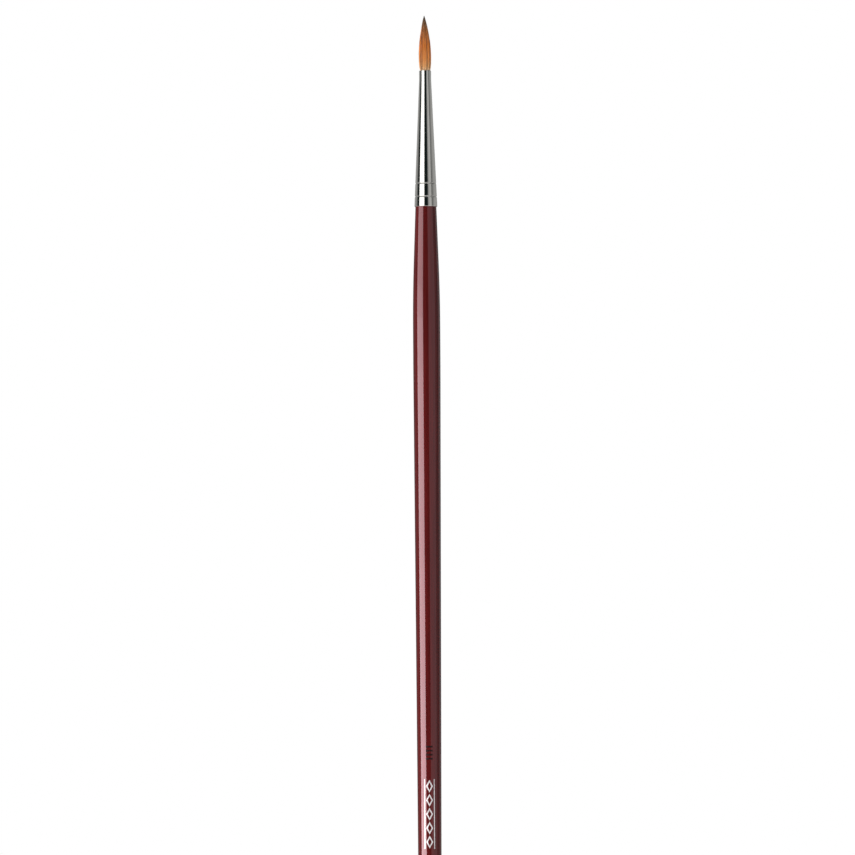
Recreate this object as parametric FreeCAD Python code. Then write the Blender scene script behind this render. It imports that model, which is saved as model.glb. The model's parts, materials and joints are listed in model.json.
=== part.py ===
import FreeCAD, Part
import math
import os

# A fine detail brush: a pointed tuft of hair in a tapered metal ferrule, on a long turned handle.
# Lengths are in millimetres. The origin is the centre of the rounded butt of the handle, where the
# axis leaves the wood. +Z runs along the axis to the point of the hair, and -Y is the marked face.

# Lengths along the axis
TOTAL_LENGTH = 300.0
HAIR_OUT = 13.8
FERRULE_LENGTH = 34.0
TENON_LENGTH = 17.8
ROOT_LENGTH = 10.0

# Ferrule: a drawn tube with a short cylindrical nose, then one straight taper
MOUTH_R = 1.49
FERRULE_REAR_R = 2.85
FERRULE_WALL = 0.2
NOSE_LENGTH = 2.2
LIP_ROUND = 0.08
REAR_ROLL_DEPTH = 0.13
REAR_ROLL_LENGTH = 0.35
CRIMPS_FROM_REAR = (2.5, 5.8)
CRIMP_DEPTH = 0.1
CRIMP_HALF_WIDTH = 0.35

# Handle: swells to a short cylindrical grip land behind the ferrule, then tapers to the butt
GRIP_R = 3.4
GRIP_LENGTH = 10.0
GRIP_FRONT_FROM_TIP = 77.5
SWELL_TOP_FROM_TIP = 62.0
SWELL_TOP_R = 3.115
SWELL_SLOPE = 0.0355
TAPER_SLOPE = 0.0039
TAIL_LENGTH = 80.0
BUTT_R = 1.55
BUTT_ANGLE = math.radians(2.0)
COAT = 0.18
COAT_IN_FERRULE = 1.0
TENON_CHAMFER = 0.3
GLUE_FILM = 0.2

# Hair, as sections that meet point to point on the axis, where they hinge
ROOT_R = 1.22
HEEL_FLARE = 0.15
HINGES = 4
FIRST_HINGE = 2.0
HINGE_PITCH = 2.8
HINGE_CONE = math.radians(17.0)
HINGE_TIP_R = 0.1
HINGE_GAP = 0.1
HAIR_OUTLINE = (
    (0.0, 1.30),
    (1.4, 1.42),
    (3.6, 1.49),
    (6.2, 1.38),
    (8.2, 1.15),
    (10.2, 0.86),
    (12.2, 0.51),
    (13.3, 0.26),
    (HAIR_OUT, 0.06),
)

# Binding thread and the resin plug that holds the bound root
THREAD_R = 0.09
THREAD_TURNS = 9
THREAD_ABOVE_ROOT_END = 1.5
PLUG_BELOW_ROOT = 1.6
PLUG_BELOW_MOUTH = 2.6

# Marks on the handle: four size bars, then a row of open lozenges between two lines
MARK_GAP = 0.005
MARK_THICKNESS = 0.04
BARS_FROM_TIP = 182.0
BAR_COUNT = 4
BAR_PITCH = 1.0
BAR_WIDTH = 1.7
BAR_THICKNESS = 0.4
ROW_FROM_TIP = 190.6
ROW_LENGTH = 17.4
LOZENGE_COUNT = 5
LOZENGE_WIDTH = 1.7
LOZENGE_STROKE = 0.34
LOZENGE_SPACING = 0.3
LINE_OFFSET = 1.2
LINE_WIDTH = 0.2

AXIS_POINT = FreeCAD.Vector(0, 0, 0)
AXIS = FreeCAD.Vector(0, 0, 1)

TIP_Z = TOTAL_LENGTH
MOUTH_Z = TIP_Z - HAIR_OUT
NOSE_BASE_Z = MOUTH_Z - NOSE_LENGTH
REAR_Z = MOUTH_Z - FERRULE_LENGTH
TENON_END_Z = REAR_Z + TENON_LENGTH
COAT_END_Z = REAR_Z + COAT_IN_FERRULE
SWELL_TOP_Z = TIP_Z - SWELL_TOP_FROM_TIP
GRIP_FRONT_Z = TIP_Z - GRIP_FRONT_FROM_TIP
GRIP_BACK_Z = GRIP_FRONT_Z - GRIP_LENGTH
FERRULE_SLOPE = (FERRULE_REAR_R - MOUTH_R) / (NOSE_BASE_Z - REAR_Z)
HINGE_HEIGHTS = [FIRST_HINGE + HINGE_PITCH * n for n in range(HINGES)]


def at(r, z):
    """A point of an outline, at radius r and height z."""
    return FreeCAD.Vector(r, 0, z)


def line(start, end):
    return Part.LineSegment(start, end).toShape()


def lines(points):
    """The straight edges that join the points one after another."""
    return [line(a, b) for a, b in zip(points, points[1:])]


def arc(start, middle, end):
    return Part.Arc(start, middle, end).toShape()


def bezier(poles):
    curve = Part.BezierCurve()
    curve.setPoles(poles)
    return curve.toShape()


def turned(edges):
    """The solid turned from a closed outline, whose edges may come in any order."""
    wire = Part.Wire(Part.sortEdges(edges)[0])
    return Part.Face(wire).revolve(AXIS_POINT, AXIS, 360)


def save(node, shape):
    shape.exportStep(os.path.join("parts", node + ".step"))


# Handle


def swell_radius(z):
    """The straight front of the handle, from the swell to inside the ferrule."""
    return SWELL_TOP_R - SWELL_SLOPE * (z - SWELL_TOP_Z)


def taper_radius(z):
    """The long straight taper behind the grip land."""
    return GRIP_R - TAPER_SLOPE * (GRIP_BACK_Z - z)


def handle_outline(inset):
    """Edges of the handle's outline, from the axis at the butt to the coat's front edge."""
    butt_r = BUTT_R - inset
    halfway = (math.pi / 2 + BUTT_ANGLE) / 2
    butt = at(0, inset)
    butt_middle = at(butt_r * math.cos(halfway), BUTT_R - butt_r * math.sin(halfway))
    butt_top = at(butt_r * math.cos(BUTT_ANGLE), BUTT_R - butt_r * math.sin(BUTT_ANGLE))
    tail_top = at(taper_radius(TAIL_LENGTH) - inset, TAIL_LENGTH)
    reach = TAIL_LENGTH / 3
    tail = [
        butt_top,
        butt_top + at(math.sin(BUTT_ANGLE), math.cos(BUTT_ANGLE)) * reach,
        tail_top - at(TAPER_SLOPE, 1) * reach,
        tail_top,
    ]
    grip_back = at(GRIP_R - inset, GRIP_BACK_Z)
    grip_front = at(GRIP_R - inset, GRIP_FRONT_Z)
    swell_top = at(SWELL_TOP_R - inset, SWELL_TOP_Z)
    reach = (SWELL_TOP_Z - GRIP_FRONT_Z) / 3
    swell = [
        grip_front,
        grip_front + at(0, reach),
        swell_top - at(-SWELL_SLOPE, 1) * reach,
        swell_top,
    ]
    return [
        arc(butt, butt_middle, butt_top),
        bezier(tail),
        line(tail_top, grip_back),
        line(grip_back, grip_front),
        bezier(swell),
        line(swell_top, at(swell_radius(COAT_END_Z) - inset, COAT_END_Z)),
    ]


def make_handle_core():
    """The wood, with its bare tenon, which the crimps press into."""
    under = FERRULE_WALL + GLUE_FILM
    tenon_r = ferrule_radius(TENON_END_Z) - under
    shoulder = line(
        at(swell_radius(COAT_END_Z) - COAT, COAT_END_Z),
        at(ferrule_radius(COAT_END_Z) - under, COAT_END_Z),
    )
    chamfer_z = TENON_END_Z - TENON_CHAMFER
    front = lines(
        [
            at(ferrule_radius(chamfer_z) - under, chamfer_z),
            at(tenon_r - TENON_CHAMFER, TENON_END_Z),
            at(0, TENON_END_Z),
            at(0, COAT),
        ]
    )
    tenon = taper_with_crimps(under, COAT_END_Z, chamfer_z)
    return turned(handle_outline(COAT) + [shoulder] + tenon + front)


def make_handle_lacquer():
    """The coat over the whole handle, whose front edge is just inside the ferrule."""
    outer_r = swell_radius(COAT_END_Z)
    edge = line(at(outer_r, COAT_END_Z), at(outer_r - COAT, COAT_END_Z))
    butt = line(at(0, 0), at(0, COAT))
    return turned(handle_outline(0) + handle_outline(COAT) + [edge, butt])


# Ferrule and the glue film inside it


def ferrule_radius(z):
    """Outside of the ferrule: the nose is cylindrical, and the rest is one taper."""
    return MOUTH_R + FERRULE_SLOPE * max(0.0, NOSE_BASE_Z - z)


def taper_with_crimps(inset, low, high):
    """Edges along the tapered wall, inset from its outside, from low to high over the crimps."""
    edges = []
    here = at(ferrule_radius(low) - inset, low)
    for crimp in CRIMPS_FROM_REAR:
        z = REAR_Z + crimp
        back = at(ferrule_radius(z - CRIMP_HALF_WIDTH) - inset, z - CRIMP_HALF_WIDTH)
        front = at(ferrule_radius(z + CRIMP_HALF_WIDTH) - inset, z + CRIMP_HALF_WIDTH)
        bottom = at(ferrule_radius(z) - inset - CRIMP_DEPTH, z)
        edges.append(line(here, back))
        edges.append(arc(back, bottom, front))
        here = front
    edges.append(line(here, at(ferrule_radius(high) - inset, high)))
    return edges


def make_ferrule():
    """The tube, with a rounded lip at the mouth and its rear edge rolled inwards."""
    roll_z = REAR_Z + REAR_ROLL_LENGTH
    roll = [
        at(ferrule_radius(roll_z), roll_z),
        at(ferrule_radius(REAR_Z), REAR_Z),
        at(ferrule_radius(REAR_Z) - REAR_ROLL_DEPTH, REAR_Z),
    ]
    rear_inner = at(ferrule_radius(REAR_Z) - FERRULE_WALL, REAR_Z)
    lip_middle = LIP_ROUND * (1 - math.sqrt(0.5))
    lip = [
        at(MOUTH_R, MOUTH_Z - LIP_ROUND),
        at(MOUTH_R - lip_middle, MOUTH_Z - lip_middle),
        at(MOUTH_R - LIP_ROUND, MOUTH_Z),
    ]
    mouth_inner = at(MOUTH_R - FERRULE_WALL, MOUTH_Z)
    nose_inner = at(MOUTH_R - FERRULE_WALL, NOSE_BASE_Z)
    outside = taper_with_crimps(0, roll_z, NOSE_BASE_Z)
    inside = taper_with_crimps(FERRULE_WALL, REAR_Z, NOSE_BASE_Z)
    ends = [
        line(at(MOUTH_R, NOSE_BASE_Z), lip[0]),
        arc(*lip),
        line(lip[-1], mouth_inner),
        line(mouth_inner, nose_inner),
        bezier(roll),
        line(roll[-1], rear_inner),
    ]
    return turned(outside + inside + ends)


def make_tenon_adhesive():
    """The film that fills the space between the tenon and the inside of the ferrule."""
    high = TENON_END_Z - TENON_CHAMFER
    outer = taper_with_crimps(FERRULE_WALL, COAT_END_Z, high)
    inner = taper_with_crimps(FERRULE_WALL + GLUE_FILM, COAT_END_Z, high)
    outer_r = ferrule_radius(COAT_END_Z) - FERRULE_WALL
    high_r = ferrule_radius(high) - FERRULE_WALL
    low_edge = line(at(outer_r, COAT_END_Z), at(outer_r - GLUE_FILM, COAT_END_Z))
    high_edge = line(at(high_r, high), at(high_r - GLUE_FILM, high))
    return turned(outer + inner + [low_edge, high_edge])


# Hair, its binding and the plug


def hair_radius(height):
    """Radius of the tuft at a height above the ferrule's mouth."""
    for (low, low_r), (high, high_r) in zip(HAIR_OUTLINE, HAIR_OUTLINE[1:]):
        if height <= high:
            return low_r + (high_r - low_r) * (height - low) / (high - low)
    return HAIR_OUTLINE[-1][1]


def hinge_end(height, side):
    """Outline points of a section's blunt conical end at a hinge: the rim, the tip's edge, the axis.

    side is +1 where the section stands above the hinge, and -1 where it is below.
    """
    apex = height + side * HINGE_GAP / 2
    rim = apex + side * (hair_radius(height) - HINGE_TIP_R) * math.tan(HINGE_CONE)
    return [
        at(hair_radius(rim), MOUTH_Z + rim),
        at(HINGE_TIP_R, MOUTH_Z + apex),
        at(0, MOUTH_Z + apex),
    ]


def make_hair_root():
    """The glued root inside the ferrule and the short stiff heel that stands out of it."""
    root_end = MOUTH_Z - ROOT_LENGTH
    points = [
        at(0, root_end),
        at(ROOT_R, root_end),
        at(ROOT_R, MOUTH_Z),
        at(hair_radius(HEEL_FLARE), MOUTH_Z + HEEL_FLARE),
    ]
    points += hinge_end(HINGE_HEIGHTS[0], -1)
    return turned(lines(points + points[:1]))


def make_hair_section(low, high):
    """A free section between two hinges."""
    points = hinge_end(low, 1)[::-1]
    points += [at(r, MOUTH_Z + h) for h, r in HAIR_OUTLINE if low + 1 < h < high - 1]
    points += hinge_end(high, -1)
    return turned(lines(points + points[:1]))


def make_hair_point(low):
    """The last section, which ends in the point of the brush."""
    points = hinge_end(low, 1)[::-1]
    points += [at(r, MOUTH_Z + h) for h, r in HAIR_OUTLINE if h > low + 1]
    points += [at(0, TIP_Z)]
    return turned(lines(points + points[:1]))


def make_binding_thread():
    """Turns of thread lying against each other round the hair root."""
    low = MOUTH_Z - ROOT_LENGTH + THREAD_ABOVE_ROOT_END
    valley_r = ROOT_R + THREAD_R
    pitch = 2 * THREAD_R
    high = low + pitch * THREAD_TURNS
    edges = lines([at(valley_r, high), at(ROOT_R, high), at(ROOT_R, low), at(valley_r, low)])
    for turn in range(THREAD_TURNS):
        start = low + pitch * turn
        crest = at(valley_r + THREAD_R, start + THREAD_R)
        edges.append(arc(at(valley_r, start), crest, at(valley_r, start + pitch)))
    return turned(edges)


def make_root_adhesive(inner_pieces):
    """The resin plug, which fills the ferrule round the root and the thread."""
    low = MOUTH_Z - ROOT_LENGTH - PLUG_BELOW_ROOT
    high = MOUTH_Z - PLUG_BELOW_MOUTH
    plug = turned(
        lines(
            [
                at(0, low),
                at(ferrule_radius(low) - FERRULE_WALL, low),
                at(ferrule_radius(high) - FERRULE_WALL, high),
                at(0, high),
                at(0, low),
            ]
        )
    )
    for piece in inner_pieces:
        plug = plug.cut(piece)
    return plug


# Marks


def mark_skin(from_tip, length):
    """A thin skin round the handle's straight taper, just clear of the lacquer."""
    high = TIP_Z - from_tip
    low = high - length
    inner = MARK_GAP
    outer = MARK_GAP + MARK_THICKNESS
    base = FreeCAD.Vector(0, 0, low)
    solid = Part.makeCone(taper_radius(low) + outer, taper_radius(high) + outer, length, base, AXIS)
    hole = Part.makeCone(taper_radius(low) + inner, taper_radius(high) + inner, length, base, AXIS)
    return solid.cut(hole)


def facing_prism(corners):
    """A prism over corners given as (x, z), which reaches from the axis past the marked face."""
    points = [FreeCAD.Vector(x, 0, z) for x, z in corners]
    face = Part.Face(Part.makePolygon(points + points[:1]))
    return face.extrude(FreeCAD.Vector(0, -2 * GRIP_R, 0))


def lozenge(middle, half_width, half_length):
    return facing_prism(
        [
            (0, middle - half_length),
            (half_width, middle),
            (0, middle + half_length),
            (-half_width, middle),
        ]
    )


def box_across(middle_x, middle_z, width, length):
    half_x = width / 2
    half_z = length / 2
    return facing_prism(
        [
            (middle_x - half_x, middle_z - half_z),
            (middle_x + half_x, middle_z - half_z),
            (middle_x + half_x, middle_z + half_z),
            (middle_x - half_x, middle_z + half_z),
        ]
    )


def make_size_bars():
    """Short bars across the handle, one for each step of the brush's size."""
    length = BAR_PITCH * BAR_COUNT
    skin = mark_skin(BARS_FROM_TIP, length)
    top = TIP_Z - BARS_FROM_TIP
    bars = []
    for number in range(BAR_COUNT):
        middle = top - BAR_PITCH * (number + 0.5)
        bars.append(skin.common(box_across(0, middle, BAR_WIDTH, BAR_THICKNESS)))
    return Part.makeCompound([solid for bar in bars for solid in bar.Solids])


def make_foil_lozenges():
    """Open lozenges in a row along the handle."""
    skin = mark_skin(ROW_FROM_TIP, ROW_LENGTH)
    top = TIP_Z - ROW_FROM_TIP
    pitch = ROW_LENGTH / LOZENGE_COUNT
    half_length = (pitch - LOZENGE_SPACING) / 2
    half_width = LOZENGE_WIDTH / 2
    inner = 1 - LOZENGE_STROKE / half_width
    shapes = []
    for number in range(LOZENGE_COUNT):
        middle = top - pitch * (number + 0.5)
        whole = lozenge(middle, half_width, half_length)
        hollow = lozenge(middle, half_width * inner, half_length * inner)
        shapes.append(skin.common(whole.cut(hollow)))
    return Part.makeCompound([solid for shape in shapes for solid in shape.Solids])


def make_foil_lines():
    """The two lines that run along the row of lozenges."""
    skin = mark_skin(ROW_FROM_TIP, ROW_LENGTH)
    middle = TIP_Z - ROW_FROM_TIP - ROW_LENGTH / 2
    sides = []
    for x in (-LINE_OFFSET, LINE_OFFSET):
        sides.append(skin.common(box_across(x, middle, LINE_WIDTH, ROW_LENGTH)))
    return Part.makeCompound([solid for side in sides for solid in side.Solids])


def main():
    os.makedirs("parts", exist_ok=True)
    root = make_hair_root()
    thread = make_binding_thread()
    save("handle_core", make_handle_core())
    save("handle_lacquer", make_handle_lacquer())
    save("ferrule", make_ferrule())
    save("tenon_adhesive", make_tenon_adhesive())
    save("hair_root", root)
    save("binding_thread", thread)
    save("root_adhesive", make_root_adhesive([root, thread]))
    save("hair_lower_belly", make_hair_section(HINGE_HEIGHTS[0], HINGE_HEIGHTS[1]))
    save("hair_upper_belly", make_hair_section(HINGE_HEIGHTS[1], HINGE_HEIGHTS[2]))
    save("hair_shoulder", make_hair_section(HINGE_HEIGHTS[2], HINGE_HEIGHTS[3]))
    save("hair_point", make_hair_point(HINGE_HEIGHTS[3]))
    save("size_bars", make_size_bars())
    save("foil_lozenges", make_foil_lozenges())
    save("foil_lines", make_foil_lines())


main()
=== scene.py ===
import json
import math

import bpy
import numpy as np
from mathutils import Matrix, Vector, noise


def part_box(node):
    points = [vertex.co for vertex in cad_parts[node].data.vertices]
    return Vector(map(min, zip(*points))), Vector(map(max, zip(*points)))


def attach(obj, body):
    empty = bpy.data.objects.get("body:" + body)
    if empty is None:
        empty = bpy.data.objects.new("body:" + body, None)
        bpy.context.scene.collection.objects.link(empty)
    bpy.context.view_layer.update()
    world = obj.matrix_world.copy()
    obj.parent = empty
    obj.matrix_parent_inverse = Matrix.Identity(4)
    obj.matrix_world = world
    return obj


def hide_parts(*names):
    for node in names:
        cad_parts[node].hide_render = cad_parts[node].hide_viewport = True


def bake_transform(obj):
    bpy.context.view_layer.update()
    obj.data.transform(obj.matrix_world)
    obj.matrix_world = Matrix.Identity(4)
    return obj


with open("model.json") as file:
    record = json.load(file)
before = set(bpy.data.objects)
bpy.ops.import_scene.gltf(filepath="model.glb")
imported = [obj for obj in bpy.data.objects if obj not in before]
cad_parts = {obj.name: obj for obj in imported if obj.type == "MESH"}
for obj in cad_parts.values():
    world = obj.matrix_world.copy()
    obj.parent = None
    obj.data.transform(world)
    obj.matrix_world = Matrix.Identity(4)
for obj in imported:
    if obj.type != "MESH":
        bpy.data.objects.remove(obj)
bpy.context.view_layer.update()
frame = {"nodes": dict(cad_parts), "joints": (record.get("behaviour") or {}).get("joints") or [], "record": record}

MM = 0.001

# ---------------------------------------------------------------------------
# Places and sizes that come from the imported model
# ---------------------------------------------------------------------------

MOUNTS = {m["name"]: m for m in frame["record"]["mounts"]}
HINGE_Z = [joint["pos_m"][2] for joint in frame["joints"]]

TIP_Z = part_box("hair_point")[1].z
MOUTH_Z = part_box("ferrule")[1].z
REAR_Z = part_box("ferrule")[0].z
COAT_END_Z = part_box("handle_lacquer")[1].z
ROOT_END_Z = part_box("hair_root")[0].z
GRIP_Z = MOUNTS["grip"]["pos_m"][2]
GRIP_R = MOUNTS["grip"]["dims"]["r_mm"] * MM
GRIP_LENGTH = MOUNTS["grip"]["dims"]["length_mm"] * MM
NOSE_R = MOUNTS["ferrule_nose"]["dims"]["r_mm"] * MM
HAIR_OUT = TIP_Z - MOUTH_Z

# ---------------------------------------------------------------------------
# The shapes' own sizes
# ---------------------------------------------------------------------------

# Handle
COAT = 0.17 * MM
SWELL_TOP_Z = TIP_Z - 62.0 * MM
SWELL_TOP_R = 3.115 * MM
SWELL_SLOPE = 0.0355
TAPER_SLOPE = 0.0039
TAIL_Z = 80.0 * MM
BUTT_R = 1.55 * MM
BUTT_ANGLE = math.radians(2.0)
BUTT_STEPS = 12
HANDLE_STEP = 1.2 * MM
LACQUER_WOBBLE = 0.006 * MM
LACQUER_WOBBLE_RATE = 60

# Ferrule
FERRULE_REAR_R = 2.85 * MM
FERRULE_WALL = 0.2 * MM
NOSE_BASE_Z = MOUTH_Z - 2.2 * MM
NOSE_BLEND = 0.9 * MM
CRIMPS_Z = [REAR_Z + 2.5 * MM, REAR_Z + 5.8 * MM]
CRIMP_DEPTH = 0.08 * MM
CRIMP_WIDTH = 0.17 * MM
CRIMP_SHOULDER = 0.008 * MM
REAR_ROLL_DEPTH = 0.1 * MM
REAR_ROLL_LENGTH = 0.18 * MM
LIP_ROUND = 0.09 * MM
ROUNDING_STEPS = 8
FERRULE_STEP = 0.8 * MM
FERRULE_STEP_LEAST = 0.02 * MM
FERRULE_WOBBLE = 0.004 * MM
FERRULE_WOBBLE_RATE = 90
CRIMP_RIPPLE = 0.012 * MM
CRIMP_RIPPLES = 11
CRIMP_RIPPLE_RATE = 4000

# Tuft: its outline
BELLY_R = 1.57 * MM
BELLY_HEIGHT = 3.7 * MM
MOUTH_HAIR_R = 1.29 * MM
ROOT_HAIR_R = 1.2 * MM
HEEL_LENGTH = 1.05 * MM
POINT_SHARE = 0.04
POINT_CURVE = 1.8
POINT_POWER = 0.95
POINT_LEAN = 0.16 * MM
OUTLINE_STEPS = 400

# Tuft: its hairs, and the clumps that they lie in
SEED = 4
HAIR_COUNT = 1000
HAIR_R = 0.038 * MM
HAIR_GIRTHS = (0.85, 1.12)
HAIR_SCATTER = 0.02
HAIR_TONES = 0.15
HAIR_SIDES = 5
HAIR_STEP = 0.4 * MM
HIDDEN_STEP = 1.4 * MM
SHORTEST_HAIR = 0.12 * MM
GATHER = 0.85
TIP_SCATTER = 0.25 * MM
TIP_SHORTFALL = 0.22 * MM
TIP_LENGTH = 1.6 * MM
TIP_GIRTH = 0.16
HIGHEST_TIP = HAIR_OUT - 0.01 * MM
LOWEST_TIP = BELLY_HEIGHT + 0.3 * MM
LEAST_CROWD = 0.12
CROWD_POWER = 0.8
CLUMPS = 34
CLUMP_SCATTER = 0.2
CLUMP_TONES = 0.20
CLUMP_PULL = 0.4
CLUMP_LIFT = 0.012 * MM
CLUMP_LENGTH = 6 * MM
CLUMP_START = 0.45
CLUMP_SPREAD = 0.3
WAVE = 0.012 * MM
WAVE_TURN_PER_MM = 0.9

# Thread round the hair root
THREAD_R = 0.085 * MM
THREAD_TURNS = 9
THREAD_STEPS = 48
THREAD_SIDES = 8
THREAD_SEAT = 1.2
THREAD_BULGE = 0.12
THREAD_BULGE_RATE = 0.9

# Marks
MARK_LIFT = 0.004 * MM
MARK_THICKNESS = 0.03 * MM
BAR_COUNT = 4
BAR_THICKNESS = 0.4 * MM
LINE_WIDTH = 0.2 * MM
LOZENGE_COUNT = 5
LOZENGE_STROKE = 0.34 * MM
LOZENGE_SPACING = 0.3 * MM
LOZENGE_STEPS = 14
LOZENGE_ACROSS = 5
RAGGED_SIDE = 0.02 * MM
RAGGED_END = 0.015 * MM
RAGGED_RATE = 4
RAGGED_SLICE = 7.3

# Points round every turned surface
ROUND = 160


# ---------------------------------------------------------------------------
# Mesh helpers
# ---------------------------------------------------------------------------


def new_object(name, vertices, faces, smooth_angle=35.0):
    mesh = bpy.data.meshes.new(name)
    mesh.from_pydata([tuple(v) for v in vertices], [], [tuple(f) for f in faces])
    mesh.validate()
    mesh.shade_smooth()
    mesh.set_sharp_from_angle(angle=math.radians(smooth_angle))
    mesh.update()
    obj = bpy.data.objects.new(name, mesh)
    bpy.context.scene.collection.objects.link(obj)
    return obj


def put_attribute(obj, name, values):
    """A number for each vertex, which the materials read by its name."""
    attribute = obj.data.attributes.new(name, "FLOAT", "POINT")
    attribute.data.foreach_set("value", np.asarray(values, np.float32))


def lathe(name, outline, wobble=None):
    """The closed surface turned from a loop of (radius, height) points.

    Points on the axis become one vertex each. wobble(angle, z) is added to the radius.
    """
    vertices = []
    rings = []
    for r, z in outline:
        if r < 1e-9:
            rings.append([len(vertices)])
            vertices.append((0, 0, z))
            continue
        ring = []
        for step in range(ROUND):
            angle = 2 * math.pi * step / ROUND
            radius = r + (wobble(angle, z) if wobble else 0)
            ring.append(len(vertices))
            vertices.append((radius * math.cos(angle), radius * math.sin(angle), z))
        rings.append(ring)
    faces = []
    for low, high in zip(rings, rings[1:] + rings[:1]):
        if len(low) == 1 and len(high) == 1:
            continue
        for step in range(ROUND):
            following = (step + 1) % ROUND
            corners = [
                low[step % len(low)],
                low[following % len(low)],
                high[following % len(high)],
                high[step % len(high)],
            ]
            faces.append(list(dict.fromkeys(corners)))
    return new_object(name, vertices, faces)


def hermite(start, start_slope, end, end_slope, x):
    """Height of a cubic between two (x, y) points with these slopes."""
    length = end[0] - start[0]
    t = (x - start[0]) / length
    rest = 1 - t
    return (
        start[1] * rest * rest * (1 + 2 * t)
        + end[1] * t * t * (3 - 2 * t)
        + length * t * rest * (start_slope * rest - end_slope * t)
    )


def spaced(low, high, step):
    """Even heights from low to high, as near to this step as fits."""
    count = max(1, round((high - low) / step))
    return [low + (high - low) * n / count for n in range(count + 1)]


def smoothstep(x):
    x = np.clip(x, 0, 1)
    return x * x * (3 - 2 * x)


# ---------------------------------------------------------------------------
# Handle
# ---------------------------------------------------------------------------

GRIP_BACK_Z = GRIP_Z - GRIP_LENGTH / 2
GRIP_FRONT_Z = GRIP_Z + GRIP_LENGTH / 2
BUTT_TOP_Z = BUTT_R * (1 - math.sin(BUTT_ANGLE))
BUTT_TOP_R = BUTT_R * math.cos(BUTT_ANGLE)


def taper_radius(z):
    return GRIP_R - TAPER_SLOPE * (GRIP_BACK_Z - z)


def handle_radius(z):
    """Radius of the lacquer's outside at height z, above the round of the butt."""
    if z < TAIL_Z:
        start = (BUTT_TOP_Z, BUTT_TOP_R)
        end = (TAIL_Z, taper_radius(TAIL_Z))
        return hermite(start, math.tan(BUTT_ANGLE), end, TAPER_SLOPE, z)
    if z < GRIP_BACK_Z:
        return taper_radius(z)
    if z < GRIP_FRONT_Z:
        return GRIP_R
    if z < SWELL_TOP_Z:
        start = (GRIP_FRONT_Z, GRIP_R)
        end = (SWELL_TOP_Z, SWELL_TOP_R)
        return hermite(start, 0, end, -SWELL_SLOPE, z)
    return SWELL_TOP_R - SWELL_SLOPE * (z - SWELL_TOP_Z)


def lacquer_wobble(angle, z):
    """The slight unevenness of a dipped coat over turned wood."""
    p = Vector((math.cos(angle), math.sin(angle), z * LACQUER_WOBBLE_RATE))
    return LACQUER_WOBBLE * noise.noise(p) * min(1.0, z / (3 * BUTT_R))


def make_lacquer():
    """The coat: its outside from the axis up to its front edge, and its inside back down."""
    turn = math.pi / 2 - BUTT_ANGLE
    butt = []
    for n in range(1, BUTT_STEPS + 1):
        angle = turn * n / BUTT_STEPS
        butt.append((BUTT_R * math.sin(angle), BUTT_R * (1 - math.cos(angle))))
    heights = spaced(BUTT_TOP_Z, COAT_END_Z, HANDLE_STEP)[1:]
    outer = [(0, 0)] + butt + [(handle_radius(z), z) for z in heights]
    # In the butt the inside is flat, and its first point is too near the axis to be offset
    inner = [(r - COAT, max(z, COAT)) for r, z in outer[1:]]
    inner[0] = (COAT / 2, COAT)
    return lathe("Lacquer", outer + inner[::-1] + [(0, COAT)], lacquer_wobble)


# ---------------------------------------------------------------------------
# Ferrule
# ---------------------------------------------------------------------------

FERRULE_SLOPE = (FERRULE_REAR_R - NOSE_R) / (NOSE_BASE_Z - REAR_Z)


def ferrule_radius(z):
    """The nose and the taper, rounded into each other, with the rolled crimps."""
    below = NOSE_BASE_Z - z
    eased = (below + math.sqrt(below * below + NOSE_BLEND**2 / 4)) / 2
    sharpened = NOSE_BLEND / 4 * math.exp(-((below / NOSE_BLEND) ** 2))
    r = NOSE_R + FERRULE_SLOPE * (eased - sharpened)
    for crimp in CRIMPS_Z:
        x = (z - crimp) / CRIMP_WIDTH
        r -= CRIMP_DEPTH * math.exp(-x * x)
        r += CRIMP_SHOULDER * (math.exp(-((x - 2) ** 2)) + math.exp(-((x + 2) ** 2)))
    return r


def crimp_share(z):
    """1 at the bottom of a crimp and 0 away from it."""
    return max(math.exp(-(((z - crimp) / CRIMP_WIDTH) ** 2)) for crimp in CRIMPS_Z)


def ferrule_heights():
    """Heights of the outside's rings, close together over the crimps and the nose."""
    heights = spaced(REAR_Z + REAR_ROLL_LENGTH, MOUTH_Z - LIP_ROUND, FERRULE_STEP)
    for crimp in CRIMPS_Z:
        heights += spaced(crimp - 4 * CRIMP_WIDTH, crimp + 4 * CRIMP_WIDTH, CRIMP_WIDTH / 3)
    heights += spaced(NOSE_BASE_Z - NOSE_BLEND, NOSE_BASE_Z + NOSE_BLEND, NOSE_BLEND / 4)
    kept = []
    for z in sorted(heights):
        if not kept or z - kept[-1] > FERRULE_STEP_LEAST:
            kept.append(z)
    return kept


def ferrule_wobble(angle, z):
    """The tube isn't quite round, most of all where the crimps were rolled."""
    p = Vector((math.cos(angle), math.sin(angle), z * FERRULE_WOBBLE_RATE))
    ripple = math.sin(CRIMP_RIPPLES * angle + z * CRIMP_RIPPLE_RATE)
    return FERRULE_WOBBLE * noise.noise(p) + CRIMP_RIPPLE * crimp_share(z) * ripple


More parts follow.
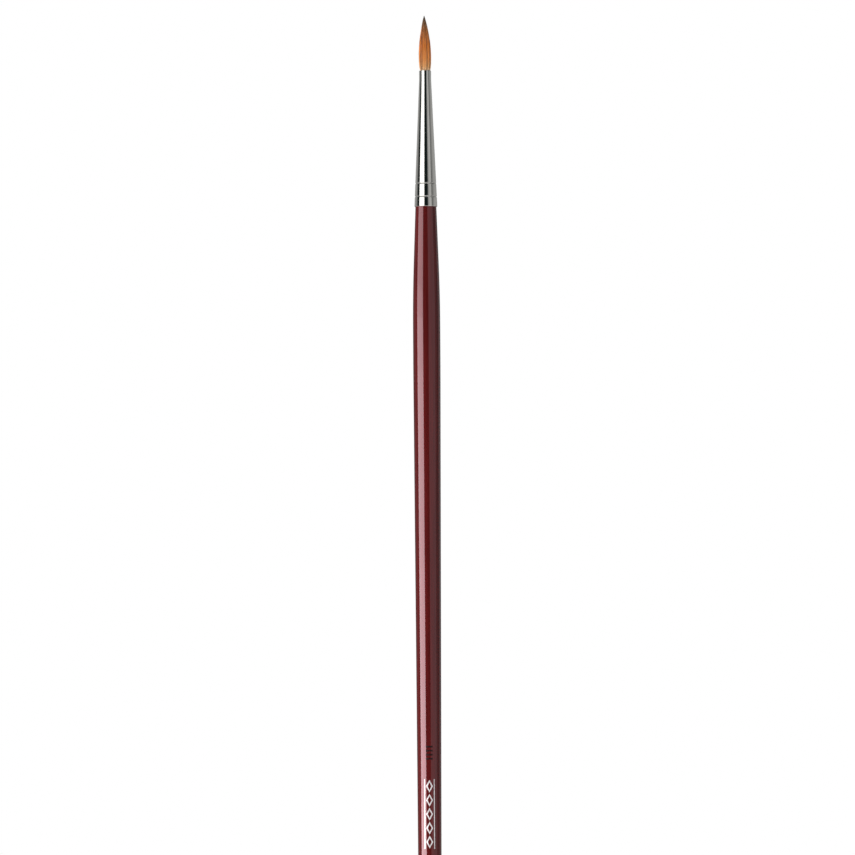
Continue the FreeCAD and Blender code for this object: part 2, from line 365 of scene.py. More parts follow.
def make_ferrule():
    """The tube: rolled rear edge, outside, rounded lip, and its inside back down."""
    heights = ferrule_heights()
    outer = [(ferrule_radius(z), z) for z in heights]
    base_r = outer[0][0]
    roll = []
    lip = []
    for n in range(1, ROUNDING_STEPS + 1):
        angle = math.pi / 2 * n / ROUNDING_STEPS
        inwards = 1 - math.cos(angle)
        onwards = math.sin(angle)
        roll.append((base_r - REAR_ROLL_DEPTH * inwards, heights[0] - REAR_ROLL_LENGTH * onwards))
        lip.append((outer[-1][0] - LIP_ROUND * inwards, heights[-1] + LIP_ROUND * onwards))
    inner = [(ferrule_radius(z) - FERRULE_WALL, z) for z in heights]
    inner_top = (NOSE_R - FERRULE_WALL, MOUTH_Z)
    inner_bottom = (base_r - FERRULE_WALL, REAR_Z)
    outline = roll[::-1] + outer + lip + [inner_top] + inner[::-1] + [inner_bottom]
    obj = lathe("Ferrule", outline, ferrule_wobble)
    put_attribute(obj, "crimp", [crimp_share(v.co.z) for v in obj.data.vertices])
    return obj


# ---------------------------------------------------------------------------
# Hair
# ---------------------------------------------------------------------------


def tuft_radius(h):
    """Radius of the whole tuft at heights h above the mouth; below 0 it is in the ferrule."""
    h = np.asarray(h, float)
    inside = MOUTH_HAIR_R + (MOUTH_HAIR_R - ROOT_HAIR_R) * np.clip(h / MM, -1, 0)
    heel = BELLY_R - (BELLY_R - MOUTH_HAIR_R) * np.exp(-np.maximum(h, 0) / HEEL_LENGTH)
    u = np.clip((h - BELLY_HEIGHT) / (HAIR_OUT - BELLY_HEIGHT), 0, 1)
    narrowing = (1 - u**POINT_CURVE) ** POINT_POWER
    point = BELLY_R * (POINT_SHARE + (1 - POINT_SHARE) * narrowing)
    free = np.where(h < BELLY_HEIGHT, heel, point)
    return np.where(h < 0, inside, free)


class Tuft:
    """Every hair's own numbers, drawn once, so that its pieces meet exactly."""

    def __init__(self):
        rng = np.random.default_rng(SEED)
        n = HAIR_COUNT
        index = np.arange(n)
        self.spread = np.sqrt((index + 0.5) / n)
        self.angle = index * math.pi * (3 - math.sqrt(5)) + rng.normal(0, HAIR_SCATTER, n)
        clump = np.floor((self.angle / (2 * math.pi) % 1) * CLUMPS).astype(int)
        middle = clump + 0.5 + rng.uniform(-CLUMP_SCATTER, CLUMP_SCATTER, CLUMPS)[clump]
        self.clump_angle = 2 * math.pi * middle / CLUMPS
        self.clump_lift = rng.normal(0, CLUMP_LIFT, CLUMPS)[clump]
        clump_tone = rng.normal(0, CLUMP_TONES, CLUMPS)[clump]
        self.tone = np.clip(0.5 + clump_tone + rng.normal(0, HAIR_TONES, n), 0, 1)
        self.girth = HAIR_R * rng.uniform(*HAIR_GIRTHS, n)
        self.wave = rng.normal(0, WAVE, (n, 2))
        self.phase = rng.uniform(0, 2 * math.pi, n)
        self.top = self.tips(rng)

    def tips(self, rng):
        """Height where each hair ends: outer hairs end where the tuft has narrowed to them."""
        heights = np.linspace(BELLY_HEIGHT, HAIR_OUT, OUTLINE_STEPS)
        share = tuft_radius(heights) / BELLY_R
        wanted = self.spread ** (1 / (1 - GATHER))
        top = np.interp(-wanted, -share, heights)
        top += rng.normal(0, TIP_SCATTER, HAIR_COUNT)
        top = np.minimum(top, HAIR_OUT - rng.exponential(TIP_SHORTFALL, HAIR_COUNT))
        return np.clip(top, LOWEST_TIP, HIGHEST_TIP)

    def centres(self, hair, h):
        """Points on the middle of these hairs at heights h, one row a hair."""
        share = tuft_radius(h) / BELLY_R
        free = smoothstep(h / CLUMP_LENGTH)
        outer = smoothstep((self.spread[hair] - CLUMP_START) / CLUMP_SPREAD)[:, None]
        away = self.angle[hair][:, None] - self.clump_angle[hair][:, None]
        away = (away + math.pi) % (2 * math.pi) - math.pi
        angle = self.clump_angle[hair][:, None] + away * (1 - CLUMP_PULL * free * outer)
        squeezed = np.where(h < BELLY_HEIGHT, share, np.maximum(share, 1e-3) ** GATHER)
        reach = self.spread[hair][:, None] * (BELLY_R * squeezed - HAIR_R)
        reach = reach + self.clump_lift[hair][:, None] * free * outer
        sway = np.sin(h / MM * WAVE_TURN_PER_MM + self.phase[hair][:, None]) * free * share
        x = reach * np.cos(angle) + self.wave[hair, 0][:, None] * sway
        y = reach * np.sin(angle) + self.wave[hair, 1][:, None] * sway
        x = x - POINT_LEAN * np.clip(h / HAIR_OUT, 0, 1) ** 3
        return x, y

    def radii(self, hair, h):
        """Each hair's radius at heights h: thinner where the tuft narrows, and to its own tip."""
        share = tuft_radius(h) / BELLY_R
        crowd = np.maximum(share, LEAST_CROWD) ** CROWD_POWER
        left = np.clip((self.top[hair][:, None] - h) / TIP_LENGTH, 0, 1)
        return self.girth[hair][:, None] * crowd * (TIP_GIRTH + (1 - TIP_GIRTH) * np.sqrt(left))


def ring_heights(low, high):
    """Where a hair's rings lie: further apart in the ferrule, which hides them."""
    if low >= 0:
        return spaced(low, high, HAIR_STEP)
    return spaced(low, 0, HIDDEN_STEP)[:-1] + spaced(0, high, HAIR_STEP)


def make_hair(name, tuft, low, high):
    """The stretch of every hair between two heights, as closed tubes."""
    hair = np.flatnonzero(tuft.top > low + SHORTEST_HAIR)
    shares = (np.array(ring_heights(low, high)) - low) / (high - low)
    steps = len(shares) - 1
    ends = np.minimum(tuft.top[hair], high)[:, None]
    h = low + (ends - low) * shares[None, :]
    x, y = tuft.centres(hair, h)
    a = tuft.radii(hair, h)
    turn = 2 * math.pi * np.arange(HAIR_SIDES) / HAIR_SIDES
    points = np.stack(
        [
            x[:, :, None] + a[:, :, None] * np.cos(turn),
            y[:, :, None] + a[:, :, None] * np.sin(turn),
            np.repeat((MOUTH_Z + h)[:, :, None], HAIR_SIDES, 2),
        ],
        axis=-1,
    )
    faces = []
    side = np.arange(HAIR_SIDES)
    following = (side + 1) % HAIR_SIDES
    for number in range(len(hair)):
        base = number * (steps + 1) * HAIR_SIDES
        for step in range(steps):
            low_ring = base + step * HAIR_SIDES
            high_ring = low_ring + HAIR_SIDES
            for one, two in zip(side, following):
                faces.append((low_ring + one, low_ring + two, high_ring + two, high_ring + one))
        faces.append(tuple(base + side[::-1]))
        faces.append(tuple(base + steps * HAIR_SIDES + side))
    obj = new_object(name, points.reshape(-1, 3), faces, smooth_angle=80.0)
    put_attribute(obj, "along", np.repeat((h / HAIR_OUT).ravel(), HAIR_SIDES))
    put_attribute(obj, "tone", np.repeat(tuft.tone[hair], (steps + 1) * HAIR_SIDES))
    return obj


def make_thread():
    """The waxed thread, wound turn on turn round the root."""
    low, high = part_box("binding_thread")
    radius = ROOT_HAIR_R + THREAD_R * THREAD_SEAT
    pitch = (high.z - low.z - 2 * THREAD_R) / THREAD_TURNS
    count = THREAD_TURNS * THREAD_STEPS
    vertices = []
    for n in range(count + 1):
        angle = 2 * math.pi * n / THREAD_STEPS
        z = low.z + THREAD_R + pitch * n / THREAD_STEPS
        for k in range(THREAD_SIDES):
            turn = 2 * math.pi * k / THREAD_SIDES
            uneven = THREAD_BULGE * math.sin(2 * turn + n * THREAD_BULGE_RATE)
            bulge = THREAD_R * (1 + uneven)
            r = radius + bulge * math.cos(turn)
            vertices.append((r * math.cos(angle), r * math.sin(angle), z + bulge * math.sin(turn)))
    faces = []
    for n in range(count):
        ring = n * THREAD_SIDES
        next_ring = ring + THREAD_SIDES
        for k in range(THREAD_SIDES):
            following = (k + 1) % THREAD_SIDES
            faces.append((ring + k, ring + following, next_ring + following, next_ring + k))
    last_ring = count * THREAD_SIDES
    faces.append(tuple(range(THREAD_SIDES))[::-1])
    faces.append(tuple(last_ring + k for k in range(THREAD_SIDES)))
    return new_object("Thread", vertices, faces, smooth_angle=60.0)


# ---------------------------------------------------------------------------
# Marks: thin patches that follow the handle's surface
# ---------------------------------------------------------------------------


def on_handle(x, z, lift):
    """The point of the marked face at x and z, lifted off the lacquer."""
    r = handle_radius(z) + lift
    return (x, -math.sqrt(max(0.0, r * r - x * x)), z)


def patch(rows, closed, vertices, faces):
    """Adds a thin solid over a grid of (x, z) points. closed joins the last row to the first."""
    across = len(rows[0])
    base = len(vertices)
    for lift in (MARK_LIFT + MARK_THICKNESS, MARK_LIFT):
        for row in rows:
            for x, z in row:
                vertices.append(on_handle(x, z, lift))
    under = len(rows) * across
    pairs = list(zip(range(len(rows)), range(1, len(rows))))
    if closed:
        pairs.append((len(rows) - 1, 0))
    for one, two in pairs:
        for k in range(across - 1):
            a = base + one * across + k
            b = base + two * across + k
            faces.append((a, a + 1, b + 1, b))
            faces.append((a + under, b + under, b + 1 + under, a + 1 + under))
        for a, b in (
            (base + two * across, base + one * across),
            (base + one * across + across - 1, base + two * across + across - 1),
        ):
            faces.append((a, b, b + under, a + under))
    if not closed:
        last = base + (len(rows) - 1) * across
        for k in range(across - 1):
            faces.append((base + k + 1, base + k, base + k + under, base + k + 1 + under))
            faces.append((last + k, last + k + 1, last + k + 1 + under, last + k + under))


def ragged(x, z, amount):
    """Where the stamp left the edge of the foil a little uneven."""
    p = Vector((x / MM * RAGGED_RATE, z / MM * RAGGED_RATE, RAGGED_SLICE))
    return amount * noise.noise(p)


def edge_share(step, across):
    """1 at the two sides of a row of points and 0 in its middle."""
    return abs(2 * step / across - 1) ** 4


def strip(x_low, x_high, z_low, z_high, across, along):
    """Rows of points over a rectangle, with uneven edges."""
    rows = []
    for n in range(along + 1):
        z = z_low + (z_high - z_low) * n / along
        row = []
        for k in range(across + 1):
            x = x_low + (x_high - x_low) * k / across
            shift = ragged(x, z, RAGGED_SIDE) * edge_share(k, across)
            row.append((x + shift, z + ragged(z, x, RAGGED_END)))
        rows.append(row)
    return rows


def make_size_bars():
    low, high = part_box("size_bars")
    pitch = (high.z - low.z - BAR_THICKNESS) / (BAR_COUNT - 1)
    vertices = []
    faces = []
    for n in range(BAR_COUNT):
        z = low.z + pitch * n
        rows = strip(low.x, high.x, z, z + BAR_THICKNESS, across=20, along=5)
        patch(rows, False, vertices, faces)
    return new_object("Size_bars", vertices, faces)


def make_foil_lines():
    low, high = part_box("foil_lines")
    vertices = []
    faces = []
    for x in (low.x, high.x - LINE_WIDTH):
        rows = strip(x, x + LINE_WIDTH, low.z, high.z, across=4, along=120)
        patch(rows, False, vertices, faces)
    return new_object("Foil_lines", vertices, faces)


def make_foil_lozenges():
    """Open lozenges: each is a ring of rows, and a row runs from its outside to its inside."""
    low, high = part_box("foil_lozenges")
    half_width = high.x
    pitch = (high.z - low.z + LOZENGE_SPACING) / LOZENGE_COUNT
    half_length = (pitch - LOZENGE_SPACING) / 2
    inner = 1 - LOZENGE_STROKE / half_width
    corners = [(0, -1), (1, 0), (0, 1), (-1, 0)]
    vertices = []
    faces = []
    for number in range(LOZENGE_COUNT):
        middle = low.z + half_length + pitch * number
        rows = []
        for (x0, z0), (x1, z1) in zip(corners, corners[1:] + corners[:1]):
            for n in range(LOZENGE_STEPS):
                t = n / LOZENGE_STEPS
                x = (x0 + (x1 - x0) * t) * half_width
                z = (z0 + (z1 - z0) * t) * half_length
                row = []
                for k in range(LOZENGE_ACROSS + 1):
                    scale = inner + (1 - inner) * (1 - k / LOZENGE_ACROSS)
                    shift = ragged(x * scale, middle + z * scale, RAGGED_SIDE)
                    shift *= edge_share(k, LOZENGE_ACROSS)
                    row.append((x * scale + shift, middle + z * scale + shift))
                rows.append(row)
        patch([row[::-1] for row in rows], True, vertices, faces)
    return new_object("Foil_lozenges", vertices, faces)


# ---------------------------------------------------------------------------
# Materials
# ---------------------------------------------------------------------------

# Colour sockets of a Mix node, whose names its other kinds share
MIX_FIRST = 6
MIX_SECOND = 7
MIX_RESULT = 2


class Material:
    """A Principled material with short calls for the nodes used here."""

    def __init__(self, name):
        self.data = bpy.data.materials.new(name)
        self.data.use_nodes = True
        self.nodes = self.data.node_tree.nodes
        self.links = self.data.node_tree.links
        self.shader = self.nodes["Principled BSDF"]

    def set(self, **sockets):
        """Values that are the same all over, by socket name with _ for each space."""
        for name, value in sockets.items():
            self.shader.inputs[name.replace("_", " ")].default_value = value

    def link(self, source, socket):
        self.links.new(source, self.shader.inputs[socket])

    def attribute(self, name):
        node = self.nodes.new("ShaderNodeAttribute")
        node.attribute_name = name
        return node.outputs["Fac"]

    def place(self, scale):
        """Points in the object's own space, stretched by a scale for each axis."""
        coordinates = self.nodes.new("ShaderNodeTexCoord")
        mapping = self.nodes.new("ShaderNodeMapping")
        mapping.inputs["Scale"].default_value = scale
        self.links.new(coordinates.outputs["Object"], mapping.inputs["Vector"])
        return mapping.outputs["Vector"]

    def noise(self, scale, detail=3.0, roughness=0.55):
        node = self.nodes.new("ShaderNodeTexNoise")
        node.inputs["Scale"].default_value = 1.0
        node.inputs["Detail"].default_value = detail
        node.inputs["Roughness"].default_value = roughness
        self.links.new(self.place(scale), node.inputs["Vector"])
        return node.outputs["Fac"]

    def ramp(self, source, stops):
        """A colour for each value of source, from stops of (position, colour)."""
        node = self.nodes.new("ShaderNodeValToRGB")
        elements = node.color_ramp.elements
        while len(elements) < len(stops):
            elements.new(0.5)
        for element, (position, colour) in zip(elements, stops):
            element.position = position
            element.color = (*colour, 1)
        self.links.new(source, node.inputs["Fac"])
        return node.outputs["Color"]

    def spread(self, source, low, high, to_low, to_high):
        """Source from low to high, stretched to run from to_low to to_high."""
        node = self.nodes.new("ShaderNodeMapRange")
        node.inputs["From Min"].default_value = low
        node.inputs["From Max"].default_value = high
        node.inputs["To Min"].default_value = to_low
        node.inputs["To Max"].default_value = to_high
        self.links.new(source, node.inputs["Value"])
        return node.outputs["Result"]

    def multiply(self, factor, first, second):
        """One colour multiplied by another, as far as factor says."""
        node = self.nodes.new("ShaderNodeMix")
        node.data_type = "RGBA"
        node.blend_type = "MULTIPLY"
        node.inputs["Factor"].default_value = factor
        self.links.new(first, node.inputs[MIX_FIRST])
        self.links.new(second, node.inputs[MIX_SECOND])
        return node.outputs[MIX_RESULT]

    def add(self, first, second):
        node = self.nodes.new("ShaderNodeMath")
        node.operation = "ADD"
        self.links.new(first, node.inputs[0])
        self.links.new(second, node.inputs[1])
        return node.outputs["Value"]

    def bump(self, source, strength, distance):
        node = self.nodes.new("ShaderNodeBump")
        node.inputs["Strength"].default_value = strength
        node.inputs["Distance"].default_value = distance
        self.links.new(source, node.inputs["Height"])
        self.link(node.outputs["Normal"], "Normal")


def lacquer_material():
    """Mahogany-red lacquer: faint long grain under a clear gloss."""
    m = Material("Mahogany_lacquer")
    grain = m.noise((1400, 1400, 45), 4.0)
    red = m.ramp(
        grain,
        [
            (0.3, (0.062, 0.0056, 0.0055)),
            (0.55, (0.081, 0.0073, 0.0070)),
            (0.75, (0.100, 0.0093, 0.0088)),
        ],
    )
    patches = m.ramp(m.noise((260, 260, 60), 2.0), [(0.3, (0.78, 0.78, 0.78)), (0.7, (1, 1, 1))])
    m.link(m.multiply(0.5, red, patches), "Base Color")
    m.link(m.spread(m.noise((900, 900, 200)), 0.3, 0.7, 0.10, 0.16), "Roughness")
    m.set(IOR=1.5, Specular_Tint=(0.85, 0.24, 0.34, 1.0))
    m.set(Coat_Weight=1.0, Coat_Roughness=0.04, Coat_IOR=1.5)
    m.bump(m.noise((700, 700, 160), 2.0), 0.08, 0.04 * MM)
    return m.data


def nickel_material():
    """Bright nickel plate with fine lengthwise drawing lines, and less polish in the crimps."""
    m = Material("Bright_nickel")
    lines = m.noise((9000, 9000, 90), 3.0)
    clouds = m.noise((500, 500, 150), 3.0)
    bright = m.ramp(clouds, [(0.3, (0.66, 0.645, 0.61)), (0.7, (0.74, 0.725, 0.69))])
    m.link(bright, "Base Color")
    drawn = m.spread(lines, 0.3, 0.7, 0.06, 0.13)
    rolled = m.spread(m.attribute("crimp"), 0.05, 0.6, 0.0, 0.3)
    m.link(m.add(drawn, rolled), "Roughness")
    m.set(Metallic=1.0)
    m.bump(lines, 0.06, 0.01 * MM)
    return m.data


def hair_material():
    """Red-brown hair: tan at the ferrule, orange brown in the belly, dark at the point."""
    m = Material("Sable_hair")
    along = m.ramp(
        m.attribute("along"),
        [
            (0.0, (0.66, 0.41, 0.21)),
            (0.07, (0.63, 0.310, 0.105)),
            (0.20, (0.62, 0.220, 0.038)),
            (0.45, (0.60, 0.170, 0.013)),
            (0.68, (0.47, 0.148, 0.022)),
            (0.86, (0.23, 0.11, 0.040)),
            (0.97, (0.085, 0.062, 0.038)),
        ],
    )
    tone = m.ramp(
        m.attribute("tone"),
        [(0.1, (0.48, 0.42, 0.40)), (0.5, (0.95, 0.93, 0.9)), (0.9, (1.35, 1.45, 1.6))],
    )
    m.link(m.multiply(1.0, along, tone), "Base Color")
    m.link(m.spread(m.noise((4000, 4000, 600), 2.0), 0.3, 0.7, 0.34, 0.5), "Roughness")
    m.set(IOR=1.5)
    return m.data


def wood_material():
    """Bare turned hardwood with long grain and pores."""
    m = Material("Bare_hardwood")
    grain = m.noise((1800, 1800, 60), 5.0, 0.6)
    pores = m.noise((6000, 6000, 250), 2.0)
    colour = m.ramp(
        grain,
        [(0.3, (0.40, 0.24, 0.12)), (0.5, (0.55, 0.37, 0.21)), (0.7, (0.66, 0.47, 0.29))],
    )
    shade = m.ramp(pores, [(0.35, (0.6, 0.5, 0.4)), (0.5, (1, 1, 1))])
    m.link(m.multiply(0.6, colour, shade), "Base Color")
    m.link(m.spread(pores, 0.3, 0.7, 0.75, 0.55), "Roughness")
    m.bump(grain, 0.4, 0.05 * MM)
    return m.data


def resin_material(name, dark, pale):
    """Set glue or resin, glossy and a little cloudy."""
    m = Material(name)
    m.link(m.ramp(m.noise((900, 900, 900)), [(0.3, dark), (0.7, pale)]), "Base Color")
    m.link(m.spread(m.noise((2500, 2500, 2500)), 0.3, 0.7, 0.18, 0.4), "Roughness")
    m.bump(m.noise((1500, 1500, 1500)), 0.3, 0.05 * MM)
    return m.data


def thread_material():
    """Waxed thread with fine fibres."""
    m = Material("Waxed_thread")
    fibres = m.noise((5000, 5000, 22000), 3.0)
    m.link(m.ramp(fibres, [(0.3, (0.55, 0.50, 0.40)), (0.7, (0.80, 0.76, 0.66))]), "Base Color")
    m.link(m.spread(fibres, 0.3, 0.7, 0.8, 0.6), "Roughness")
    m.bump(fibres, 0.6, 0.03 * MM)
    return m.data


def foil_material():
    """Stamped silver foil, a little patchy where it has worn."""
    m = Material("Silver_foil")
    wear = m.noise((5200, 5200, 5200), 4.0, 0.65)
    silver = m.ramp(
        wear,
        [(0.33, (0.30, 0.16, 0.16)), (0.42, (0.74, 0.71, 0.72)), (0.7, (0.90, 0.88, 0.89))],
    )
    m.link(silver, "Base Color")
    m.link(m.spread(wear, 0.3, 0.6, 0.55, 0.34), "Roughness")
    m.set(Metallic=0.4)
    m.bump(wear, 0.25, 0.01 * MM)
    return m.data


def ink_material():
    """The dark stamp of the size bars."""
    m = Material("Dark_stamp")
    wear = m.noise((4200, 4200, 4200), 3.0)
    m.link(m.ramp(wear, [(0.3, (0.024, 0.003, 0.004)), (0.6, (0.010, 0.002, 0.002))]), "Base Color")
    m.link(m.spread(wear, 0.3, 0.7, 0.5, 0.32), "Roughness")
    m.set(IOR=1.3)
    m.bump(wear, 0.2, 0.01 * MM)
    return m.data


def floor_material():
    m = Material("Pale_floor")
    clouds = m.noise((30, 30, 30), 2.0)
    pale = m.ramp(clouds, [(0.3, (0.915, 0.915, 0.915)), (0.7, (0.925, 0.925, 0.925))])
    m.link(pale, "Base Color")
    m.set(Roughness=0.75)
    return m.data


def give(obj, material):
    obj.data.materials.append(material)


def give_node(node, material):
    """A CAD node that stays keeps its mesh and gets a better material in each slot."""
    for slot in frame["nodes"][node].material_slots:
        slot.material = material


# ---------------------------------------------------------------------------
# Pieces
# ---------------------------------------------------------------------------


def build():
    """Makes every piece, and returns the visible ones in the groups that are lit together."""
    hair = hair_material()
    foil = foil_material()

    lacquer = make_lacquer()
    give(lacquer, lacquer_material())
    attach(lacquer, "root")
    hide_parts("handle_lacquer")

    ferrule = make_ferrule()
    give(ferrule, nickel_material())
    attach(ferrule, "root")
    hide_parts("ferrule")

    thread = make_thread()
    give(thread, thread_material())
    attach(thread, "root")
    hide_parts("binding_thread")

    bars = make_size_bars()
    give(bars, ink_material())
    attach(bars, "root")
    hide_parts("size_bars")

    lines = make_foil_lines()
    lozenges = make_foil_lozenges()
    for obj, node in ((lines, "foil_lines"), (lozenges, "foil_lozenges")):
        give(obj, foil)
        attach(obj, "root")
        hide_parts(node)

    tuft = Tuft()
    hinges = [z - MOUTH_Z for z in HINGE_Z]
    meets = [(low + high) / 2 for low, high in zip(hinges, hinges[1:])]
    inside = ROOT_END_Z - MOUTH_Z
    sections = [
        ("Hair_heel", inside, meets[0], "root", "lower_belly", ["hair_root", "hair_lower_belly"], "hair"),
        ("Hair_belly", meets[0], meets[1], "lower_belly", "upper_belly", ["hair_upper_belly"], "hair"),
        ("Hair_shoulder", meets[1], meets[2], "upper_belly", "shoulder", ["hair_shoulder"], "hair"),
        ("Hair_point", meets[2], HAIR_OUT, "shoulder", "point", ["hair_point"], "hair_tip"),
    ]
    pieces = []
    for name, low, high, lower_body, upper_body, nodes, slot in sections:
        obj = make_hair(name, tuft, low, high)
        give(obj, hair)
        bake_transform(obj)
        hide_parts(*nodes)
        pieces.append(obj)

    give_node("handle_core", wood_material())
    give_node("tenon_adhesive", resin_material("Wood_glue", (0.45, 0.36, 0.20), (0.62, 0.52, 0.33)))
    give_node("root_adhesive", resin_material("Amber_resin", (0.20, 0.09, 0.025), (0.34, 0.17, 0.05)))
    return {
        "handle": [lacquer, bars, lines, lozenges],
        "ferrule": [ferrule],
        "hair": pieces,
    }


# ---------------------------------------------------------------------------
# Camera, floor and light
# ---------------------------------------------------------------------------

VIEW_HEIGHT = 213.75 * MM
VIEW_MIDDLE_FROM_TIP = 103.0 * MM
VIEW_MIDDLE_X = 0.0625 * MM
LENS = 135.0
SENSOR = 36.0
CAMERA_ROLL = math.radians(0.35)

FLOOR_R = 0.6
FLOOR_RINGS = 6
FLOOR_STEPS = 96

# Upright panels stand this far from the axis, most of them from LOW to HIGH. Those straight
# behind start higher, so that the brush's sides don't mirror them at its very edges
STUDIO_DISTANCE = 0.8
LOW = -0.4
HIGH = 0.65
BEHIND_LOW = 0.45
BEHIND_HIGH = 1.0

# Each group also has four square lights overhead, which aim at one point of the axis, and one
# below, which stands for what a pale floor throws back
OVERHEAD_AZIMUTHS = (45, 135, 225, 315)
OVERHEAD_ELEVATION = 55
OVERHEAD_DISTANCE = 1.0
OVERHEAD_AIM_Z = 0.2
OVERHEAD_SIZE = (0.7, 0.7)
BOUNCE_DEPTH = 0.4
BOUNCE_SIZE = (2 * STUDIO_DISTANCE, 2 * STUDIO_DISTANCE)


def make_camera():
    data = bpy.data.cameras.new("Camera")
    data.lens = LENS
    data.sensor_width = SENSOR
    data.dof.use_dof = False
    data.clip_end = 50.0
    camera = bpy.data.objects.new("Camera", data)
    distance = VIEW_HEIGHT * LENS / SENSOR
    camera.location = (VIEW_MIDDLE_X, -distance, TIP_Z - VIEW_MIDDLE_FROM_TIP)
    camera.rotation_euler = (math.pi / 2, CAMERA_ROLL, 0)
    bpy.context.scene.collection.objects.link(camera)
    bpy.context.scene.camera = camera


def make_floor():
    """A round floor, which neither shades the brush nor shows in its reflections."""
    vertices = [(0, 0, 0)]
    faces = []
    for ring in range(1, FLOOR_RINGS + 1):
        for step in range(FLOOR_STEPS):
            angle = 2 * math.pi * step / FLOOR_STEPS
            r = FLOOR_R * ring / FLOOR_RINGS
            vertices.append((r * math.cos(angle), r * math.sin(angle), 0))
    for step in range(FLOOR_STEPS):
        following = (step + 1) % FLOOR_STEPS
        faces.append((0, 1 + step, 1 + following))
        for ring in range(1, FLOOR_RINGS):
            inner = 1 + (ring - 1) * FLOOR_STEPS
            outer = inner + FLOOR_STEPS
            faces.append((inner + step, outer + step, outer + following, inner + following))
    floor = new_object("Floor", vertices, faces)
    give(floor, floor_material())
    floor.visible_glossy = False
    floor.visible_shadow = False
    return floor


def softbox(name, azimuth, elevation, distance, height, size, radiance, receivers):
    """A soft rectangular light that faces the axis at this height and lights only these objects.

    Azimuth 0 is the camera's side, and it grows towards +X. Angles are in degrees.
    """
    width, tall = size
    data = bpy.data.lights.new(name, "AREA")
    data.shape = "RECTANGLE"
    data.size = width
    data.size_y = tall
    data.energy = radiance * math.pi * width * tall
    light = bpy.data.objects.new(name, data)
    a = math.radians(azimuth)
    e = math.radians(elevation)
    away = Vector((math.sin(a) * math.cos(e), -math.cos(a) * math.cos(e), math.sin(e)))
    light.location = Vector((0, 0, height)) + away * distance
    light.rotation_euler = away.to_track_quat("Z", "Y").to_euler()
    light.visible_camera = False
    bpy.context.scene.collection.objects.link(light)
    light.light_linking.receiver_collection = receivers


def panels(name, objects, rows):
    """Upright soft panels for some objects: rows of azimuth from, to, bottom, top, radiance."""
    receivers = bpy.data.collections.new(name)
    for obj in objects:
        receivers.objects.link(obj)
    for number, (start, end, bottom, top, radiance) in enumerate(rows):
        width = 2 * STUDIO_DISTANCE * math.tan(math.radians(end - start) / 2)
        middle = (bottom + top) / 2
        size = (width, top - bottom)
        label = f"{name}_{number}"
        softbox(label, (start + end) / 2, 0, STUDIO_DISTANCE, middle, size, radiance, receivers)
    return receivers


def overhead(name, azimuth, radiance, receivers):
    elevation = OVERHEAD_ELEVATION
    distance = OVERHEAD_DISTANCE
    height = OVERHEAD_AIM_Z
    softbox(name, azimuth, elevation, distance, height, OVERHEAD_SIZE, radiance, receivers)


def bounce(name, radiance, receivers):
    softbox(name, 0, -90, BOUNCE_DEPTH, 0, BOUNCE_SIZE, radiance, receivers)


def make_world():
    """White where the camera sees past the floor, and nearly black as light."""
    world = bpy.data.worlds.new("Studio")
    world.use_nodes = True
    nodes = world.node_tree.nodes
    background = nodes["Background"]
    path = nodes.new("ShaderNodeLightPath")
    backdrop = nodes.new("ShaderNodeMix")
    backdrop.data_type = "RGBA"
    backdrop.inputs[MIX_FIRST].default_value = (0.007, 0.012, 0.012, 1)
    backdrop.inputs[MIX_SECOND].default_value = (1, 1, 1, 1)
    world.node_tree.links.new(path.outputs["Is Camera Ray"], backdrop.inputs["Factor"])
    world.node_tree.links.new(backdrop.outputs[MIX_RESULT], background.inputs["Color"])
    bpy.context.scene.world = world
    bpy.context.scene.view_settings.view_transform = "Standard"


def light_floor(floor):
    """A broad sun for the floor alone."""
    data = bpy.data.lights.new("Floor_light", "SUN")
    data.energy = 3.85
    data.angle = math.radians(75)
    sun = bpy.data.objects.new("Floor_light", data)
    sun.rotation_euler = (math.radians(18), math.radians(-22), 0)
    bpy.context.scene.collection.objects.link(sun)
    sun.light_linking.receiver_collection = panels("Floor", [floor], [])


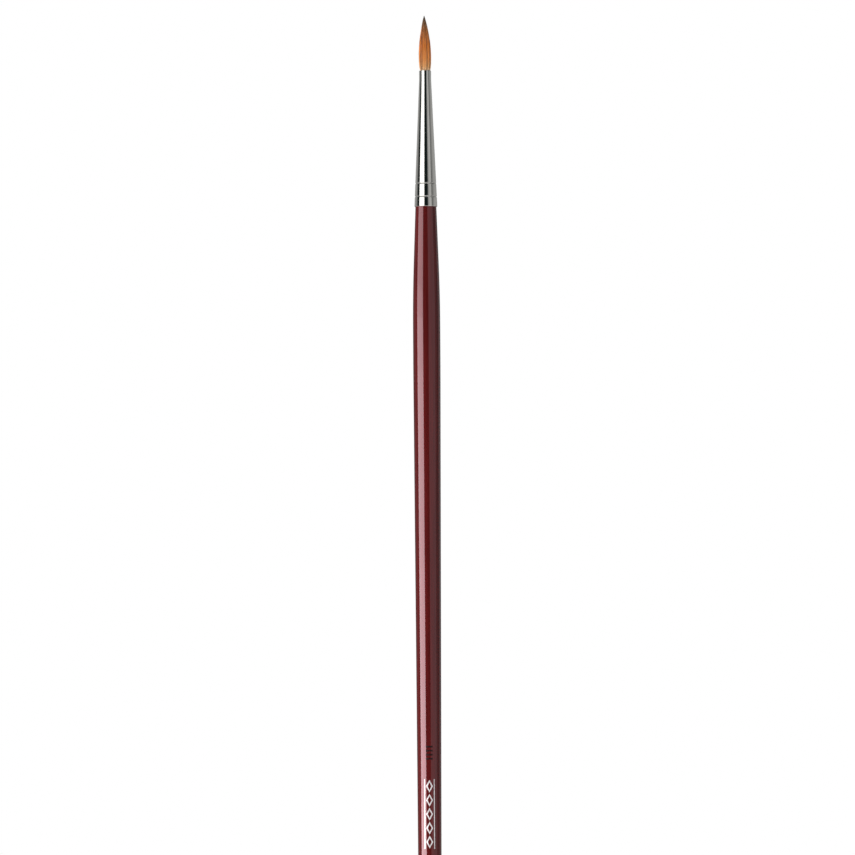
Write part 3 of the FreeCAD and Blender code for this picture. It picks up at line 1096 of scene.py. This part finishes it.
def light_brush(groups):
    """Each group has its own lights, as a photographer lights metal, gloss and hair apart."""
    ferrule = panels(
        "Ferrule_light",
        groups["ferrule"],
        [
            (-164, -112, LOW, HIGH, 0.40),
            (-112, -95, LOW, HIGH, 0.17),
            (-70, -17, LOW, HIGH, 1.7),
            (18, 25, LOW, HIGH, 0.08),
            (25, 36, LOW, HIGH, 0.38),
            (36, 62, LOW, HIGH, 0.52),
            (62, 76, LOW, HIGH, 0.16),
            (76, 94, LOW, HIGH, 0.28),
            (94, 164, LOW, HIGH, 0.40),
            (160, 200, BEHIND_LOW, BEHIND_HIGH, 2.5),
        ],
    )
    handle = panels(
        "Handle_light",
        groups["handle"],
        [
            (-86, -31, LOW, 0.0, 7.5),
            (-86, -31, 0.0, 0.06, 6.3),
            (-86, -31, 0.06, 0.12, 5.9),
            (-86, -31, 0.12, 0.17, 5.4),
            (-86, -31, 0.17, 0.22, 5.0),
            (-86, -31, 0.22, 0.26, 4.4),
            (-86, -31, 0.26, 0.30, 3.6),
            (-86, -31, 0.30, HIGH, 3.0),
            (-150, -100, LOW, HIGH, 0.1),
            (16, 76, LOW, HIGH, 0.55),
            (76, 100, LOW, HIGH, 0.2),
            (108, 152, LOW, HIGH, 0.23),
            (160, 200, BEHIND_LOW, BEHIND_HIGH, 6.0),
        ],
    )
    hair = panels(
        "Hair_light",
        groups["hair"],
        [
            (-150, -100, LOW, HIGH, 0.9),
            (-100, -60, LOW, HIGH, 2.7),
            (-60, -30, LOW, HIGH, 4.2),
            (-30, 30, 0.3, HIGH, 2.8),
            (30, 70, LOW, HIGH, 0.9),
            (100, 150, LOW, HIGH, 1.2),
            (160, 200, BEHIND_LOW, BEHIND_HIGH, 3.0),
        ],
    )
    for number, azimuth in enumerate(OVERHEAD_AZIMUTHS):
        overhead(f"Handle_overhead_{number}", azimuth, 0.7, handle)
        overhead(f"Hair_overhead_{number}", azimuth, 0.8, hair)
        overhead(f"Ferrule_overhead_{number}", azimuth, 0.6, ferrule)
    bounce("Handle_bounce", 0.4, handle)
    bounce("Hair_bounce", 0.2, hair)
    bounce("Ferrule_bounce", 0.8, ferrule)


groups = build()
make_camera()
floor = make_floor()
make_world()
light_brush(groups)
light_floor(floor)
